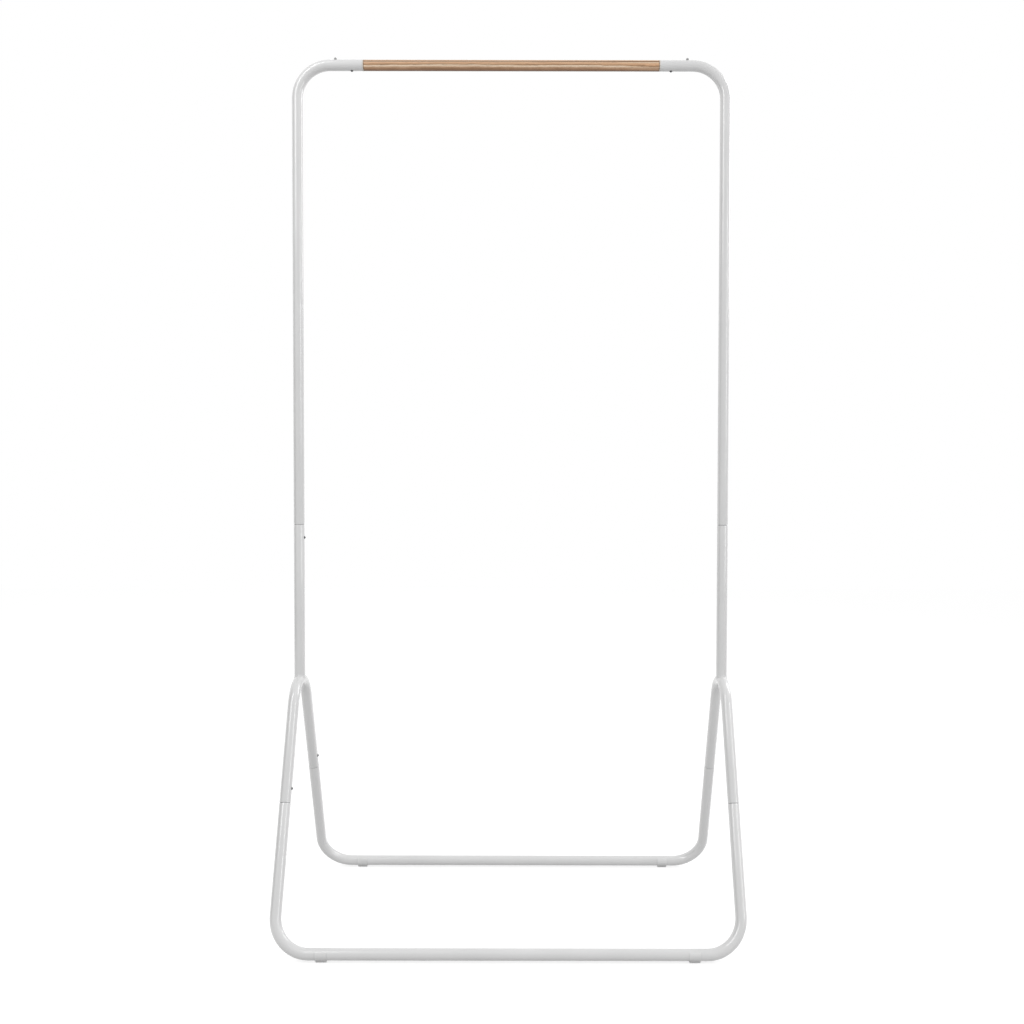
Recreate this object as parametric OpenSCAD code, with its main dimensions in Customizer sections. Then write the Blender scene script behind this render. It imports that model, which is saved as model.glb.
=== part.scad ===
// Free-standing coat rack of bent steel tube with a wooden hanging bar.
// The origin is on the floor, in the middle of the rack. X runs from left to right, Y from front to rear.
// It knocks down into two upper frames, the bar, two side frames and two base frames.
// Each tube joint holds an inner sleeve with a nut, and one button-head screw locks it.
// The joint screws face the middle of the rack on its left side, and the rear on its right side.

/* [Overall] */
// Distance between the two side frames, centre line to centre line
rack_w = 806; // [600:1:1200]
// Height of the rail's centre line above the floor
rail_h = 1604; // [1300:1:1900]
// Distance between the front and rear floor tubes, centre line to centre line
base_depth = 438; // [340:1:600]

/* [Steel tube] */
// Outside diameter of every frame tube
tube_d = 20; // [18:0.5:25]
// Wall thickness of every frame tube
tube_wall = 1.2; // [1:0.1:1.6]
// Radius of the rounded corners, at the tube's centre line
corner_r = 62; // [50:1:90]
// Gap between two tube ends at a joint
joint_gap = 0.8; // [0.3:0.1:1.5]
// Chamfer on the tube ends that meet at a joint
end_chamfer = 0.4; // [0.2:0.1:0.6]

/* [Upper frames and posts] */
// Straight length of the arm that carries the bar, from the corner to the tube's end
arm_straight = 61; // [55:1:120]
// Height of the joint between the upper and the lower post
post_joint_h = 740; // [580:1:1000]
// Height above the arch's centre line at which the ears of the coped end are ground flat
cope_trim = 4; // [3:0.5:6]
// Gap left under the coped end for the weld
cope_gap = 0.1; // [0.05:0.05:0.3]
// Width of the weld bead round the coped end
weld_w = 1.2; // [0.8:0.1:2]

/* [Side hairpins] */
// Height of the arch's crown, at the tube's centre line
arch_h = 443; // [400:1:540]
// Radius of the arch, at the tube's centre line
arch_r = 60; // [45:1:80]
// Length of a base leg, from the floor tube's centre line to its joint
leg_run = 250; // [200:1:300]

/* [Joint sleeves] */
// Length of the sleeve inside each joint
sleeve_len = 90; // [70:1:110]
// Wall thickness of the sleeve
sleeve_wall = 1.5; // [1.2:0.1:2]
// Clearance all round between a sleeve and the tube over it
sleeve_gap = 0.1; // [0.05:0.05:0.3]
// Distance from a joint to its screw
screw_off = 25; // [15:1:32]

/* [Screws and nuts] */
// Thread diameter of the screws
screw_d = 3; // [3:0.5:4]
// Length of a joint screw under its head
screw_len = 8; // [6.5:0.5:9]
// How far the screw head reaches past the thread all round
head_over = 1.2; // [1:0.1:2]
// Height of the screw head
head_h = 1.8; // [1.4:0.1:2.4]
// Width across flats of the key socket
key_af = 2; // [1.5:0.1:2.5]
// Depth of the key socket
key_depth = 1; // [0.6:0.1:1.2]
// Clearance all round of the screw in the holes that it passes through
hole_gap = 0.25; // [0.15:0.05:0.5]
// Clearance all round of the screw in its thread
thread_gap = 0.05; // [0.03:0.01:0.1]
// Material round the thread of a nut, at its flats
nut_wall = 1.2; // [1:0.1:2]
// Thickness of a nut
nut_t = 3; // [2.5:0.5:4]

/* [Hanging bar] */
// How far the bar's surface lies below the tube's surface
bar_inset = 0.1; // [0:0.05:0.5]
// Thickness of the ring between the bar's shoulder and the tube's end
ring_t = 2; // [1:0.5:4]
// Length of the tenon that reaches into the tube
tenon_len = 45; // [36:1:50]
// Clearance all round of the tenon in the tube
tenon_gap = 0.2; // [0.1:0.05:0.4]
// Chamfer on the bar's shoulders and tenon tips
bar_chamfer = 0.6; // [0.3:0.1:1.2]
// Distance from the bar's shoulder to its screw
bar_screw_in = 22; // [12:1:30]
// Length of a bar screw under its head
bar_screw_len = 11; // [9:0.5:12]
// Length of the threaded insert
insert_len = 10; // [8:0.5:11]
// Wall of the threaded insert
insert_wall = 1.2; // [0.8:0.1:1.5]
// Depth of the two grooves round the insert
insert_groove = 0.3; // [0.2:0.1:0.5]
// Clearance all round of the insert in its hole
insert_gap = 0.05; // [0.03:0.01:0.1]

/* [Hanger stops] */
// Distance from the corner's end to the stop
stop_from_corner = 10; // [6:1:12]
// Diameter of the stop's ball
stop_ball_d = 5.2; // [4.6:0.2:7]
// Height of the ball's centre above the tube
stop_lift = 2; // [1.2:0.1:3]
// Diameter of the stop's stem
stop_stem_d = 3; // [2.4:0.1:3.4]
// How far the stop's barb reaches past its stem all round
barb_over = 0.6; // [0.4:0.1:0.8]
// Height of the barb
barb_h = 2.5; // [2:0.5:4]
// Clearance all round of the stem in its hole
stem_gap = 0.1; // [0.05:0.05:0.2]

/* [Feet] */
// Length of a foot along its tube
foot_len = 19; // [12:1:30]
// Distance from the corner's end to the middle of the foot
foot_from_corner = 22; // [16:1:60]
// Thickness of the sole under the tube
foot_pad = 3; // [2:0.5:8]
// Wall of the clip round the tube
foot_wall = 1.2; // [1:0.1:3]
// Width of the flat sole, from front to rear
sole_w = 8; // [7:1:16]
// Height of the clip's lips above the tube's centre line
foot_grip = 7; // [4:0.5:9]
// Rounding of the foot's lower edges
foot_round = 2; // [1:0.5:2.5]
// Clearance all round between the clip and the tube
foot_gap = 0.1; // [0.05:0.05:0.3]

/* [Hidden] */
$fn = 72;
left = -1;
right = 1;
front = -1;
rear = 1;
// How far a cutting shape runs past the face that it cuts
over = 1;
// A hair of clearance where two fixed pieces meet face to face on a curve
touch = 0.02;
white_coat = [0.95, 0.95, 0.94];
white_plastic = [0.92, 0.92, 0.90];
pale_plastic = [0.95, 0.91, 0.84];
oak = [0.80, 0.62, 0.43];
dark_steel = [0.24, 0.24, 0.25];
plain_steel = [0.70, 0.71, 0.72];
brass = [0.78, 0.62, 0.32];
grey_plastic = [0.62, 0.62, 0.61];
bore_d = tube_d - 2 * tube_wall;
// The bar and its joints
arm_len = corner_r + arm_straight;
bar_len = rack_w - 2 * (arm_len + ring_t);
bar_d = tube_d - 2 * bar_inset;
tenon_d = bore_d - 2 * tenon_gap;
bar_screw_x = bar_len / 2 + bar_screw_in;
insert_d = screw_d + 2 * thread_gap + 2 * insert_wall;
// How far the insert lies below the tenon's surface, and above the end of its hole
insert_play = 1;
stop_x = rack_w / 2 - corner_r - stop_from_corner;
// Sleeves, nuts and screws
sleeve_d = bore_d - 2 * sleeve_gap;
sleeve_bore_d = sleeve_d - 2 * sleeve_wall;
screw_hole_d = screw_d + 2 * hole_gap;
head_d = screw_d + 2 * head_over;
head_ball_r = (pow(head_d / 2, 2) + pow(head_h, 2)) / (2 * head_h);
nut_af = screw_d + 2 * thread_gap + 2 * nut_wall;
function screw_turn(side) = side == right ? 90 : 0;
// The leaning legs: a line from the floor tube's centre that touches the arch
floor_tube_z = foot_pad + tube_d / 2;
arch_cz = arch_h - arch_r;
arch_dist = norm([base_depth / 2, arch_cz - floor_tube_z]);
leg_lean = atan2(base_depth / 2, arch_cz - floor_tube_z) - asin(arch_r / arch_dist);
leg_len = sqrt(pow(arch_dist, 2) - pow(arch_r, 2));
foot_x = rack_w / 2 - corner_r - foot_from_corner;

// Shared shapes

// A quarter or other part of a ring of round bar, flat on the XY plane, from the X axis round towards Y
module round_bend(radius, angle, d) {
    rotate_extrude(angle = angle)
        translate([radius, 0])
            circle(d = d);
}

// The outer edge of a tube end that starts at Z = 0 and runs upwards, as a cutting ring
module end_bevel(d, size) {
    rotate_extrude()
        polygon([[d / 2 - size - over, -over], [d / 2 + over, -over], [d / 2 + over, size + over]]);
}

// A hole along +X from the middle of a tube, so it passes through one wall only
module side_hole(d) {
    rotate([0, 90, 0])
        cylinder(h = tube_d, d = d);
}

// A length of sleeve, centred on a joint
module sleeve_tube() {
    difference() {
        cylinder(h = sleeve_len, d = sleeve_d, center = true);
        cylinder(h = sleeve_len + 2 * over, d = sleeve_bore_d, center = true);
    }
}

// A hexagon nut along +X whose outer face follows the bore of the sleeve that it is welded into
module sleeve_nut() {
    seat_r = sleeve_bore_d / 2 - touch;
    difference() {
        intersection() {
            translate([seat_r - nut_t, 0, 0])
                rotate([0, 90, 0])
                    cylinder(h = 2 * nut_t, d = nut_af / cos(30), $fn = 6);
            cylinder(h = 2 * nut_af, r = seat_r, center = true);
        }
        side_hole(screw_d + 2 * thread_gap);
    }
}

// Half of a screw's section: the domed head above the line of the seat, and the shank below it
module screw_section(length) {
    intersection() {
        translate([0, head_h - head_ball_r])
            circle(r = head_ball_r);
        square([head_d, head_h + over]);
    }
    translate([0, -length])
        square([screw_d / 2, length + head_h / 2]);
}

// A button-head screw along +X. Its head rests on the tube, and its thread points to the tube's middle
module button_screw(length) {
    translate([tube_d / 2, 0, 0])
        rotate([0, 90, 0])
            difference() {
                rotate_extrude()
                    screw_section(length);
                translate([0, 0, head_h - key_depth])
                    cylinder(h = key_depth + over, d = key_af / cos(30), $fn = 6);
            }
}

// Puts a shape on one post, at its joint, turned the way that the joint's screw faces
module at_post_joint(side) {
    translate([side * rack_w / 2, 0, post_joint_h])
        rotate([0, 0, screw_turn(side)])
            children();
}

// Tips a shape into the leaning plane of the front or rear legs. Its Z runs up the leg from the floor tube
module on_leg_plane(end) {
    translate([0, end * base_depth / 2, floor_tube_z])
        rotate([end * leg_lean, 0, 0])
            children();
}

// Puts a shape on one leg, at its joint, turned the way that the joint's screw faces
module at_leg_joint(side, end) {
    on_leg_plane(end)
        translate([side * rack_w / 2, 0, leg_run])
            rotate([0, 0, screw_turn(side)])
                children();
}

// Upper part: the rail and the upper frames

// The turned bar, with a shoulder and a tenon at each end and a blind cross hole in each tenon
module hanging_bar() {
    tenon_tip = bar_len / 2 + tenon_len;
    hole_depth = insert_len + 2 * insert_play;
    profile = [[0, 0], [bar_d / 2, 0], [bar_d / 2, bar_len / 2 - bar_chamfer],
               [bar_d / 2 - bar_chamfer, bar_len / 2], [tenon_d / 2, bar_len / 2],
               [tenon_d / 2, tenon_tip - bar_chamfer], [tenon_d / 2 - bar_chamfer, tenon_tip],
               [0, tenon_tip]];
    color(oak)
        translate([0, 0, rail_h])
            difference() {
                for (side = [left, right])
                    rotate([0, side * 90, 0])
                        rotate_extrude()
                            polygon(profile);
                for (side = [left, right])
                    translate([side * bar_screw_x, 0, -tenon_d / 2 - over])
                        cylinder(h = over + hole_depth, d = insert_d + 2 * insert_gap);
            }
}

// The pale ring between the bar's shoulder and the tube's end
module bar_ring(side) {
    color(pale_plastic)
        translate([side * (bar_len + ring_t) / 2, 0, rail_h])
            rotate([0, 90, 0])
                difference() {
                    cylinder(h = ring_t, d = tube_d, center = true);
                    cylinder(h = ring_t + 2 * over, d = tenon_d + 2 * tenon_gap, center = true);
                }
}

// The brass insert pressed into a tenon from below, with two grooves that hold it in the wood
module bar_insert(side) {
    r = insert_d / 2;
    groove = insert_len / 5;
    color(brass)
        translate([side * bar_screw_x, 0, rail_h - tenon_d / 2 + insert_play])
            difference() {
                cylinder(h = insert_len, r = r);
                translate([0, 0, -over])
                    cylinder(h = insert_len + 2 * over, d = screw_d + 2 * thread_gap);
                for (step = [1, 3])
                    translate([0, 0, step * groove])
                        difference() {
                            cylinder(h = groove, r = r + over);
                            translate([0, 0, -over])
                                cylinder(h = groove + 2 * over, r = r - insert_groove);
                        }
            }
}

// The screw that holds a tenon, driven upwards through the tube
module bar_screw(side) {
    color(dark_steel)
        translate([side * bar_screw_x, 0, rail_h])
            rotate([0, 90, 0])
                button_screw(bar_screw_len);
}

// The run of one upper frame as solid round bar: post, corner and arm. past lengthens both ends
module upper_run(d, past) {
    foot_z = post_joint_h + joint_gap / 2 - past;
    corner_x = rack_w / 2 - corner_r;
    translate([rack_w / 2, 0, foot_z])
        cylinder(h = rail_h - corner_r - foot_z, d = d);
    translate([corner_x, 0, rail_h - corner_r])
        rotate([90, 0, 0])
            round_bend(corner_r, 90, d);
    translate([corner_x - arm_straight - past, 0, rail_h])
        rotate([0, 90, 0])
            cylinder(h = arm_straight + past, d = d);
}

// Bent tube from the post joint up round the corner to the bar, drilled for the stop and the bar's screw
module upper_frame(side) {
    color(white_coat)
        mirror([side == left ? 1 : 0, 0, 0])
            difference() {
                upper_run(tube_d, 0);
                upper_run(bore_d, over);
                translate([stop_x, 0, rail_h])
                    cylinder(h = tube_d, d = stop_stem_d + 2 * stem_gap);
                translate([bar_screw_x, 0, rail_h])
                    rotate([0, 90, 0])
                        side_hole(screw_hole_d);
                translate([rack_w / 2, 0, post_joint_h + joint_gap / 2])
                    end_bevel(tube_d, end_chamfer);
            }
}

// The ball-headed peg on top of the rail that keeps hangers off the corner
module hanger_stop(side) {
    stem_foot = bore_d / 2 - touch;
    barb_r = stop_stem_d / 2 + barb_over;
    color(grey_plastic)
        translate([side * stop_x, 0, rail_h]) {
            translate([0, 0, stem_foot - over])
                cylinder(h = tube_d / 2 - stem_foot + over + stop_lift, d = stop_stem_d);
            difference() {
                translate([0, 0, tube_d / 2 + stop_lift])
                    sphere(d = stop_ball_d);
                cylinder(h = tube_d / 2 + touch, d = tube_d);
            }
            // The barb is wider than its hole and grips the inside of the wall
            intersection() {
                translate([0, 0, stem_foot - barb_h])
                    cylinder(h = barb_h, r1 = stop_stem_d / 2 - barb_over, r2 = barb_r);
                rotate([0, 90, 0])
                    cylinder(h = tube_d, r = stem_foot, center = true);
            }
        }
}

// The post joints

// The sleeve that slides down into the lower post, drilled below the joint
module post_sleeve(side) {
    color(plain_steel)
        at_post_joint(side)
            difference() {
                sleeve_tube();
                translate([0, 0, -screw_off])
                    side_hole(screw_hole_d);
            }
}

module post_nut(side) {
    color(plain_steel)
        at_post_joint(side)
            translate([0, 0, -screw_off])
                sleeve_nut();
}

module post_screw(side) {
    color(dark_steel)
        at_post_joint(side)
            translate([0, 0, -screw_off])
                button_screw(screw_len);
}

// The side frames: a lower post welded on the crown of a hairpin

// Stands a shape on edge in the plane of the hairpins, with the arch's centre at the shape's origin
module on_arch() {
    translate([0, 0, arch_cz])
        rotate([90, 0, 90])
            children();
}

// The arch as solid round bar, tangent to both legs
module arch(d) {
    on_arch()
        rotate([0, 0, leg_lean])
            round_bend(arch_r, 180 - 2 * leg_lean, d);
}

// Straight tube whose lower end is cut to a saddle that fits the arch
module lower_post(side) {
    top_z = post_joint_h - joint_gap / 2;
    foot_z = arch_h + cope_trim;
    color(white_coat)
        translate([side * rack_w / 2, 0, 0])
            difference() {
                translate([0, 0, foot_z])
                    cylinder(h = top_z - foot_z, d = tube_d);
                translate([0, 0, foot_z - over])
                    cylinder(h = top_z - foot_z + 2 * over, d = bore_d);
                arch(tube_d + 2 * cope_gap);
                translate([0, 0, post_joint_h - screw_off])
                    rotate([0, 0, screw_turn(side)])
                        side_hole(screw_hole_d);
                translate([0, 0, top_z])
                    mirror([0, 0, 1])
                        end_bevel(tube_d, end_chamfer);
            }
}

// The bead that runs round the saddle, as wide on the post as on the arch
module post_weld(side) {
    bead_foot = arch_h + cope_trim - weld_w;
    color(white_coat)
        translate([side * rack_w / 2, 0, 0])
            difference() {
                intersection() {
                    translate([0, 0, bead_foot])
                        cylinder(h = tube_d, d = tube_d + 2 * weld_w);
                    arch(tube_d + 2 * weld_w);
                }
                arch(tube_d + 2 * touch);
                translate([0, 0, bead_foot - over])
                    cylinder(h = tube_d + 2 * over, d = tube_d + 2 * touch);
            }
}

// The run of a hairpin as solid round bar: two leaning legs and the arch. past lengthens the lower ends
module hairpin_run(d, past) {
    leg_down = leg_len - leg_run - joint_gap / 2 + past;
    arch(d);
    for (end = [front, rear])
        on_arch()
            mirror([end == front ? 1 : 0, 0, 0])
                rotate([0, 0, leg_lean])
                    translate([arch_r, 0, 0])
                        rotate([90, 0, 0])
                            cylinder(h = leg_down, d = d);
}

// Bent tube from the front leg's joint over the arch to the rear leg's joint, drilled above each joint
module side_hairpin(side) {
    color(white_coat)
        translate([side * rack_w / 2, 0, 0])
            difference() {
                hairpin_run(tube_d, 0);
                hairpin_run(bore_d, over);
                for (end = [front, rear])
                    on_leg_plane(end) {
                        translate([0, 0, leg_run + screw_off])
                            rotate([0, 0, screw_turn(side)])
                                side_hole(screw_hole_d);
                        translate([0, 0, leg_run + joint_gap / 2])
                            end_bevel(tube_d, end_chamfer);
                    }
            }
}

// The leg joints

// The sleeve that stands in the base leg and reaches up into the hairpin, drilled above the joint
module leg_sleeve(side, end) {
    color(plain_steel)
        at_leg_joint(side, end)
            difference() {
                sleeve_tube();
                translate([0, 0, screw_off])
                    side_hole(screw_hole_d);
            }
}

module leg_nut(side, end) {
    color(plain_steel)
        at_leg_joint(side, end)
            translate([0, 0, screw_off])
                sleeve_nut();
}

module leg_screw(side, end) {
    color(dark_steel)
        at_leg_joint(side, end)
            translate([0, 0, screw_off])
                button_screw(screw_len);
}

// The base frames and their feet

// The run of a base frame in its own plane as solid round bar: floor tube, two corners and two legs
module base_run(d, past) {
    corner_x = rack_w / 2 - corner_r;
    rotate([0, 90, 0])
        cylinder(h = 2 * corner_x, d = d, center = true);
    for (side = [left, right])
        mirror([side == left ? 1 : 0, 0, 0]) {
            translate([corner_x, 0, corner_r])
                rotate([90, 0, 0])
                    rotate([0, 0, -90])
                        round_bend(corner_r, 90, d);
            translate([rack_w / 2, 0, corner_r])
                cylinder(h = leg_run - joint_gap / 2 - corner_r + past, d = d);
        }
}

// Bent tube that lies on the floor and rises at both sides to the leg joints
module base_frame(end) {
    color(white_coat)
        on_leg_plane(end)
            difference() {
                base_run(tube_d, 0);
                base_run(bore_d, over);
                for (side = [left, right])
                    translate([side * rack_w / 2, 0, leg_run - joint_gap / 2])
                        mirror([0, 0, 1])
                            end_bevel(tube_d, end_chamfer);
            }
}

// A block that stands on the floor, seen from one side, with its two lower corners rounded
module foot_block(width, height) {
    half = width / 2;
    translate([-half, -floor_tube_z + foot_round])
        square([width, height - foot_round]);
    translate([-half + foot_round, -floor_tube_z])
        square([width - 2 * foot_round, height]);
    for (way = [-1, 1])
        translate([way * (half - foot_round), -floor_tube_z + foot_round])
            circle(r = foot_round);
}

// The clip's section across the tube: a ring open at the top, on a sole
module foot_section() {
    outer_r = tube_d / 2 + foot_gap + foot_wall;
    difference() {
        union() {
            circle(r = outer_r);
            foot_block(sole_w, floor_tube_z);
        }
        circle(d = tube_d + 2 * foot_gap);
        translate([-tube_d, foot_grip])
            square([2 * tube_d, tube_d]);
    }
}

// A clip-on foot under a floor tube
module foot(side, end) {
    color(white_plastic)
        translate([side * foot_x, end * base_depth / 2, floor_tube_z])
            intersection() {
                rotate([90, 0, 90])
                    linear_extrude(height = foot_len, center = true)
                        foot_section();
                rotate([90, 0, 0])
                    linear_extrude(height = 2 * tube_d, center = true)
                        foot_block(foot_len, floor_tube_z + foot_grip + over);
            }
}

hanging_bar();
bar_ring(left);  // bar_ring_left
bar_ring(right);  // bar_ring_right
bar_insert(left);  // bar_insert_left
bar_insert(right);  // bar_insert_right
bar_screw(left);  // bar_screw_left
bar_screw(right);  // bar_screw_right
upper_frame(left);  // upper_frame_left
upper_frame(right);  // upper_frame_right
hanger_stop(left);  // hanger_stop_left
hanger_stop(right);  // hanger_stop_right
post_sleeve(left);  // post_sleeve_left
post_sleeve(right);  // post_sleeve_right
post_nut(left);  // post_nut_left
post_nut(right);  // post_nut_right
post_screw(left);  // post_screw_left
post_screw(right);  // post_screw_right
lower_post(left);  // lower_post_left
lower_post(right);  // lower_post_right
post_weld(left);  // post_weld_left
post_weld(right);  // post_weld_right
side_hairpin(left);  // side_hairpin_left
side_hairpin(right);  // side_hairpin_right
leg_sleeve(left, front);  // leg_sleeve_front_left
leg_sleeve(right, front);  // leg_sleeve_front_right
leg_sleeve(left, rear);  // leg_sleeve_rear_left
leg_sleeve(right, rear);  // leg_sleeve_rear_right
leg_nut(left, front);  // leg_nut_front_left
leg_nut(right, front);  // leg_nut_front_right
leg_nut(left, rear);  // leg_nut_rear_left
leg_nut(right, rear);  // leg_nut_rear_right
leg_screw(left, front);  // leg_screw_front_left
leg_screw(right, front);  // leg_screw_front_right
leg_screw(left, rear);  // leg_screw_rear_left
leg_screw(right, rear);  // leg_screw_rear_right
base_frame(front);  // front_base_frame
base_frame(rear);  // rear_base_frame
foot(left, front);  // foot_front_left
foot(right, front);  // foot_front_right
foot(left, rear);  // foot_rear_left
foot(right, rear);  // foot_rear_right
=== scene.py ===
# Looks of the free-standing coat rack: white coated tube, an oak hanging bar and small fittings.
# Lengths are in metres. X runs from left to right, Y from front to rear, and Z is up.
import math

import bmesh
import bpy
from mathutils import Matrix, Vector


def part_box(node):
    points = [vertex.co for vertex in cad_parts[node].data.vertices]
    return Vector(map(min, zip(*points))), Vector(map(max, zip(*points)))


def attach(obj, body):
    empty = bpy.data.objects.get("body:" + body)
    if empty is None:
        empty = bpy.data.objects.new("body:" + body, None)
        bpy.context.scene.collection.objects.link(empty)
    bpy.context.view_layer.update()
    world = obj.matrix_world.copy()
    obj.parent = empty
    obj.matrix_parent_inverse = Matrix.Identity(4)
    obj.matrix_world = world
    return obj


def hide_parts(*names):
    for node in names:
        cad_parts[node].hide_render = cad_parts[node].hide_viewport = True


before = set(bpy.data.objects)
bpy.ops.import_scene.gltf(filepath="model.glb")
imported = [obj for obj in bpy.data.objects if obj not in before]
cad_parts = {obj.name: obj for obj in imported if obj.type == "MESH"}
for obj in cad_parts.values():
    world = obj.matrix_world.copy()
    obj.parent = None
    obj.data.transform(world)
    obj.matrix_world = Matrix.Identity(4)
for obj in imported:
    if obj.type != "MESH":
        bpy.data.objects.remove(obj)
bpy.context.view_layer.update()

MM = 0.001
SIDES = {"left": -1, "right": 1}
ENDS = {"front": -1, "rear": 1}
BODY = "root"

# Sizes that the frame gives


def span(node, axis):
    """Lowest and highest place of a solid along one axis, 0 for X, 1 for Y and 2 for Z."""
    low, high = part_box(node)
    return low[axis], high[axis]


def middle(node, axis):
    return sum(span(node, axis)) / 2


TUBE_R = span("lower_post_right", 1)[1]
POST_X = middle("lower_post_right", 0)
RAIL_Z = middle("hanging_bar", 2)
BAR_R = span("hanging_bar", 1)[1]
TENON_TIP = span("hanging_bar", 0)[1]
RING_X = span("bar_ring_right", 0)
ARM_END = span("upper_frame_right", 0)[0]
UPPER_FOOT = span("upper_frame_right", 2)[0]
LOWER_TOP = span("lower_post_right", 2)[1]
LOWER_FOOT = span("lower_post_right", 2)[0]
JOINT_GAP = UPPER_FOOT - LOWER_TOP
ARCH_H = span("side_hairpin_right", 2)[1] - TUBE_R
FLOOR_TUBE_Z = span("rear_base_frame", 2)[0] + TUBE_R
BASE_Y = span("rear_base_frame", 1)[1] - TUBE_R
STOP_X = middle("hanger_stop_right", 0)
FOOT_X = middle("foot_rear_right", 0)
BAR_SCREW_X = middle("bar_screw_right", 0)
POST_SCREW_Z = middle("post_screw_right", 2)

# Sizes of the tube work
WALL = 1.2 * MM
CORNER_R = 62 * MM
ARCH_R = 60 * MM
LEG_RUN = 250 * MM
SCREW_OFF = 25 * MM
RIM_ROUND = 0.45 * MM
COPE_GAP = 0.1 * MM
COPE_REACH = 5 * MM
TUBE_SIDES = 96
BEND_POINTS = 40

# The leaning legs touch the arch, so the lean follows from the heights and the depth
ARCH_Z = ARCH_H - ARCH_R
ARCH_RISE = ARCH_Z - FLOOR_TUBE_Z
LEAN = math.atan2(BASE_Y, ARCH_RISE) - math.asin(ARCH_R / math.hypot(BASE_Y, ARCH_RISE))
APEX_Z = FLOOR_TUBE_Z + BASE_Y / math.tan(LEAN)


def leg_plane(end):
    """Placement of the front or rear legs' leaning plane. Its Z runs up from the floor tube."""
    foot = Matrix.Translation((0, end * BASE_Y, FLOOR_TUBE_Z))
    return foot @ Matrix.Rotation(end * LEAN, 4, "X")


# Helpers for node trees


class Tree:
    """A node tree with short calls: add makes a node, put sets or links an input."""

    def __init__(self, tree):
        self.tree = tree

    def add(self, kind, settings=None, **inputs):
        node = self.tree.nodes.new(kind)
        for name, value in (settings or {}).items():
            setattr(node, name, value)
        for name, value in inputs.items():
            self.put(node, name.replace("_", " "), value)
        return node

    def put(self, node, name, value):
        """Sets an input to a number, or links a socket or a node's first output to it."""
        socket = node.inputs[name] if isinstance(name, int) else self.find(node, name)
        if isinstance(value, bpy.types.Node):
            value = next(out for out in value.outputs if out.enabled)
        if isinstance(value, bpy.types.NodeSocket):
            self.tree.links.new(value, socket)
        else:
            socket.default_value = value

    @staticmethod
    def find(node, name):
        for socket in node.inputs:
            if socket.enabled and socket.name.lower() == name.lower():
                return socket
        raise KeyError(f"{node.name} has no input {name}")

    def math(self, operation, first, second=0.0):
        node = self.tree.nodes.new("ShaderNodeMath")
        node.operation = operation
        self.put(node, 0, first)
        self.put(node, 1, second)
        return node


# Helpers for geometry

SAME_POINT = 0.0005 * MM


def make_object(name, verts, faces=(), edges=()):
    mesh = bpy.data.meshes.new(name)
    mesh.from_pydata([tuple(v) for v in verts], list(edges), list(faces))
    mesh.validate()
    piece = bpy.data.objects.new(name, mesh)
    bpy.context.scene.collection.objects.link(piece)
    return piece


def settle(piece):
    """Turns a piece and its modifiers into a plain mesh, and removes the modifiers."""
    bpy.context.view_layer.update()
    graph = bpy.context.evaluated_depsgraph_get()
    mesh = bpy.data.meshes.new_from_object(piece.evaluated_get(graph))
    piece.modifiers.clear()
    piece.data = mesh
    mesh.name = piece.name
    return piece


def shade_smooth(piece, limit=40):
    """Smooth shading, with a crease wherever two faces meet at more than the limit in degrees."""
    mesh = piece.data
    mesh.polygons.foreach_set("use_smooth", [True] * len(mesh.polygons))
    mesh.set_sharp_from_angle(angle=math.radians(limit))


def add_modifier(piece, kind, **settings):
    modifier = piece.modifiers.new(kind.title(), kind)
    for name, value in settings.items():
        setattr(modifier, name, value)


def paint(piece, finish):
    """Gives a piece or a solid one material."""
    piece.data.materials.clear()
    piece.data.materials.append(finish)


def face_outwards(piece):
    """Merges doubled points and turns every face outwards."""
    build = bmesh.new()
    build.from_mesh(piece.data)
    bmesh.ops.remove_doubles(build, verts=build.verts, dist=SAME_POINT)
    bmesh.ops.recalc_face_normals(build, faces=build.faces)
    build.to_mesh(piece.data)
    build.free()


def stacked_rings(name, rings, sides):
    """A closed shape of rings round Z. A ring is a height and a radius, or a radius by angle."""
    verts = []
    faces = []
    for height, radius in rings:
        for k in range(sides):
            angle = 2 * math.pi * k / sides
            r = radius(angle) if callable(radius) else radius
            verts.append((r * math.cos(angle), r * math.sin(angle), height))
    for low in range(0, len(verts) - sides, sides):
        for k in range(sides):
            after = (k + 1) % sides
            faces.append((low + k, low + after, low + sides + after, low + sides + k))
    for first, height in ((0, rings[0][0]), (len(verts) - sides, rings[-1][0])):
        pole = len(verts)
        verts.append((0, 0, height))
        faces += [(first + k, first + (k + 1) % sides, pole) for k in range(sides)]
    piece = make_object(name, verts, faces)
    face_outwards(piece)
    return piece


def arc_rings(centre_z, centre_r, radius, start, stop, steps):
    """Rings along a round edge. Angles are in degrees, from the outward direction up towards Z."""
    rings = []
    for k in range(steps + 1):
        angle = math.radians(start + (stop - start) * k / steps)
        rings.append((centre_z + radius * math.sin(angle), centre_r + radius * math.cos(angle)))
    return rings


def geometry_tree(name, inputs):
    """An empty geometry tree with named inputs, each given as its name, kind and value."""
    group = bpy.data.node_groups.new(name, "GeometryNodeTree")
    group.interface.new_socket("Geometry", in_out="INPUT", socket_type="NodeSocketGeometry")
    for title, kind, value in inputs:
        socket = group.interface.new_socket(title, in_out="INPUT", socket_type=kind)
        if value is not None:
            socket.default_value = value
    group.interface.new_socket("Geometry", in_out="OUTPUT", socket_type="NodeSocketGeometry")
    return group, Tree(group)


def close_tree(tree, geometry, finish):
    """Ends a geometry tree in Realize Instances and Set Material."""
    realize = tree.add("GeometryNodeRealizeInstances", Geometry=geometry)
    coat = tree.add("GeometryNodeSetMaterial", Geometry=realize, Material=finish)
    tree.add("NodeGroupOutput", Geometry=coat)


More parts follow.
